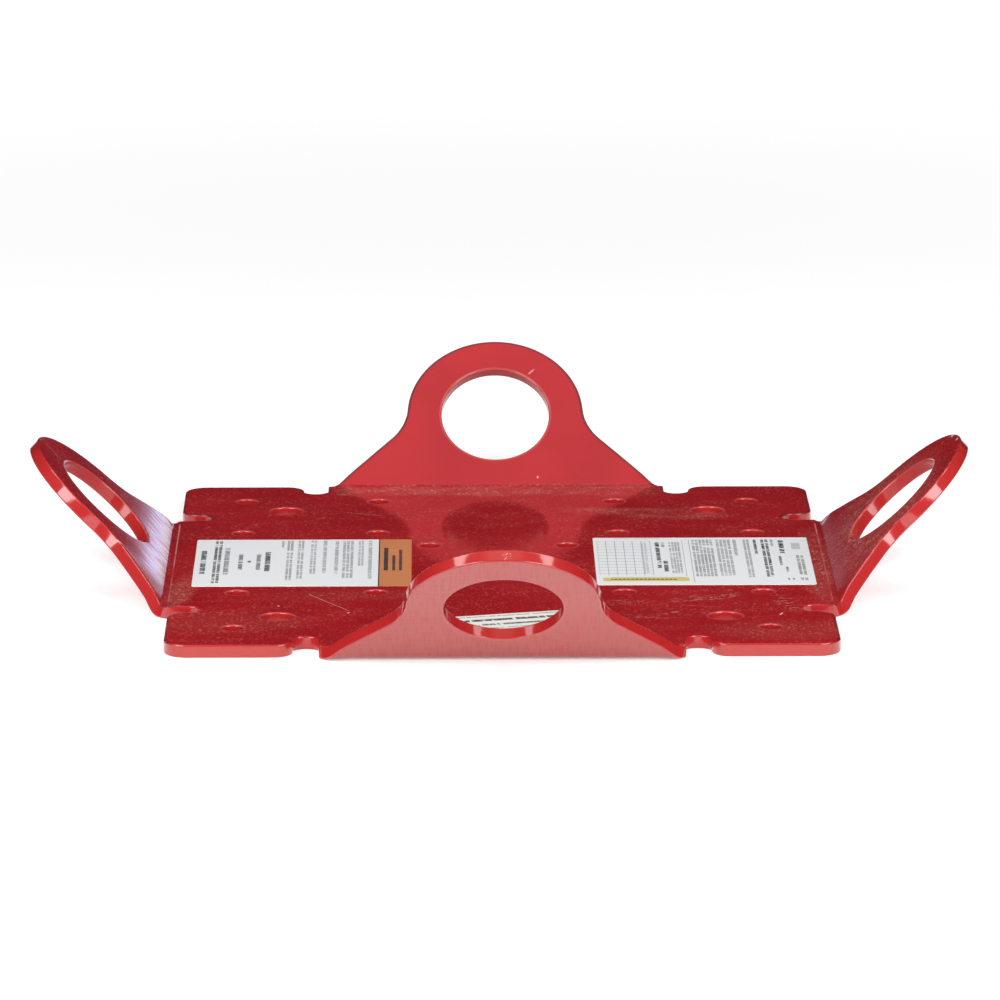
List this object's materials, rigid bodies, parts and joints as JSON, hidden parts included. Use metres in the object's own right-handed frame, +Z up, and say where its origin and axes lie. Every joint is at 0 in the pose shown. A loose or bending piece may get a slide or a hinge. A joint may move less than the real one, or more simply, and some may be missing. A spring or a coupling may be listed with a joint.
{
  "type": "plate anchor",
  "caption": "Square coated steel anchor plate with a bent-up round-eyed lifting ear on each side, rows of fastening holes and adhesive labels.",
  "frame": {"origin": "middle of the square plate on its flat underside", "axes": "+Z up through the plate, +X to the right and +Y to the back as the picture shows it"},
  "size_m": [0.5138, 0.5138, 0.0766],
  "materials": {
    "red_coating": "glossy red coating on steel plate, lightly scratched and dusty",
    "label_film": "white adhesive film with plain coloured bands and grey bars, slightly smudged"
  },
  "bodies": {
    "root": {"anchor_plate": "red_coating", "left_label": "label_film", "right_label": "label_film", "front_label": "label_film"}
  },
  "joints": []
}
